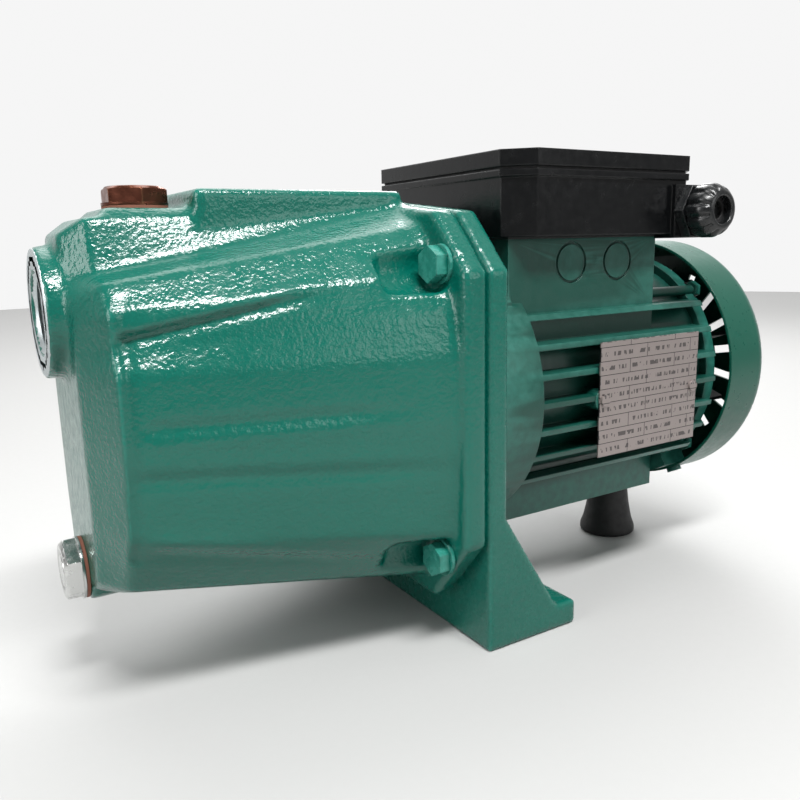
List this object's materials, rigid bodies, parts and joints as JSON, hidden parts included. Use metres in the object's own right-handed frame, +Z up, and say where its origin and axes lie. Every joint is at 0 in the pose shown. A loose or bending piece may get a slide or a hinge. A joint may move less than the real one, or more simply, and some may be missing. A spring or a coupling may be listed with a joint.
{
  "type": "shallow well jet pump",
  "caption": "Self-priming jet pump: cast head with front suction and top delivery ports, foot bracket, finned motor, fan cover and terminal box.",
  "frame": {"origin": "on the base plane, midway between the two holes of the cast foot", "axes": "+X along the shaft from the pump head to the motor, +Z up, +Y across to the side away from the cable gland"},
  "size_m": [0.3535, 0.1559, 0.2125],
  "materials": {
    "green_cast_enamel": "gloss enamel over sand-cast texture",
    "green_motor_enamel": "gloss enamel on die-cast aluminium",
    "green_cover_enamel": "gloss enamel on pressed steel",
    "plug_brass": "worn, oxidised brass",
    "plated_steel": "zinc plated",
    "plug_fibre": "red fibre",
    "black_rubber": "moulded, matt",
    "engineering_plastic": "glass-filled noryl",
    "stainless_steel": "turned and pressed stainless",
    "seal_ceramic": "lapped ceramic",
    "seal_carbon": "carbon face in a rubber bellows",
    "bearing_steel": "ground",
    "bearing_cage": "pressed",
    "electrical_steel": "stacked laminations",
    "copper_winding": "varnished enamelled copper",
    "cast_aluminium": "cast",
    "fan_plastic": "moulded",
    "plate_aluminium": "satin printed sheet",
    "box_plastic": "semi-gloss moulded ABS",
    "block_plastic": "moulded",
    "terminal_brass": "plated brass",
    "capacitor_shell": "moulded"
  },
  "bodies": {
    "pump_frame": {"box_base_gasket": "black_rubber", "box_base_screws": "plated_steel", "capacitor": "capacitor_shell", "capacitor_strap": "plated_steel", "casing_bolt_washers": "plated_steel", "casing_bolts": "plated_steel", "casing_o_ring": "black_rubber", "diffuser": "engineering_plastic", "ejector_nozzle": "engineering_plastic", "fan_cover": "green_cover_enamel", "fan_cover_screws": "plated_steel", "foot_screw": "plated_steel", "front_bearing_outer_ring": "bearing_steel", "gland_body": "box_plastic", "gland_seal": "black_rubber", "motor_bracket": "green_cast_enamel", "motor_frame": "green_motor_enamel", "nameplate": "plate_aluminium", "nameplate_rivets": "plate_aluminium", "pump_casing": "green_cast_enamel", "rear_bearing_outer_ring": "bearing_steel", "rear_shield": "green_motor_enamel", "rubber_foot": "black_rubber", "seal_seat": "seal_ceramic", "stator_core": "electrical_steel", "stator_winding": "copper_winding", "terminal_block": "block_plastic", "terminal_box_base": "box_plastic", "terminal_screws": "terminal_brass", "tie_bolts": "plated_steel", "venturi_tube": "engineering_plastic", "wave_spring": "bearing_steel"},
    "rotor": {"shaft": "stainless_steel", "impeller": "stainless_steel", "impeller_nut": "stainless_steel", "impeller_key": "stainless_steel", "seal_head": "seal_carbon", "seal_bellows": "stainless_steel", "water_slinger": "black_rubber", "front_bearing_inner_ring": "bearing_steel", "rear_bearing_inner_ring": "bearing_steel", "rotor_core": "electrical_steel", "rotor_end_rings": "cast_aluminium", "fan": "fan_plastic"},
    "front_balls": {"front_bearing_balls": "bearing_steel", "front_bearing_cage": "bearing_cage"},
    "rear_balls": {"rear_bearing_balls": "bearing_steel", "rear_bearing_cage": "bearing_cage"},
    "filler_closure": {"filler_plug": "plug_brass", "filler_plug_washer": "plug_fibre"},
    "drain_closure": {"drain_plug": "plated_steel", "drain_plug_washer": "plug_fibre"},
    "box_lid": {"terminal_box_lid": "box_plastic", "lid_gasket": "black_rubber", "lid_screws": "plated_steel"},
    "gland_clamp_nut": {"gland_nut": "box_plastic"}
  },
  "joints": [
    {"name": "shaft_spin", "type": "hinge", "parent": "pump_frame", "child": "rotor", "pos_m": [0, 0, 0.104], "axis": [1, 0, 0], "continuous": true},
    {"name": "front_cage_spin", "type": "hinge", "parent": "pump_frame", "child": "front_balls", "pos_m": [0.0035, 0, 0.104], "axis": [1, 0, 0], "continuous": true},
    {"name": "rear_cage_spin", "type": "hinge", "parent": "pump_frame", "child": "rear_balls", "pos_m": [0.1165, 0, 0.104], "axis": [1, 0, 0], "continuous": true},
    {"name": "filler_plug_out", "type": "slide", "parent": "pump_frame", "child": "filler_closure", "axis": [0, 0, 1], "range_m": [0, 0.04]},
    {"name": "drain_plug_out", "type": "slide", "parent": "pump_frame", "child": "drain_closure", "axis": [-1, 0, 0], "range_m": [0, 0.03]},
    {"name": "box_lid_lift", "type": "slide", "parent": "pump_frame", "child": "box_lid", "axis": [0, 0, 1], "range_m": [0, 0.05]},
    {"name": "gland_nut_out", "type": "slide", "parent": "pump_frame", "child": "gland_clamp_nut", "axis": [0, -1, 0], "range_m": [0, 0.02]}
  ],
  "couplings": [
    {"joint": "front_cage_spin", "follows": "shaft_spin", "ratio": 0.3808},
    {"joint": "rear_cage_spin", "follows": "shaft_spin", "ratio": 0.3808}
  ]
}
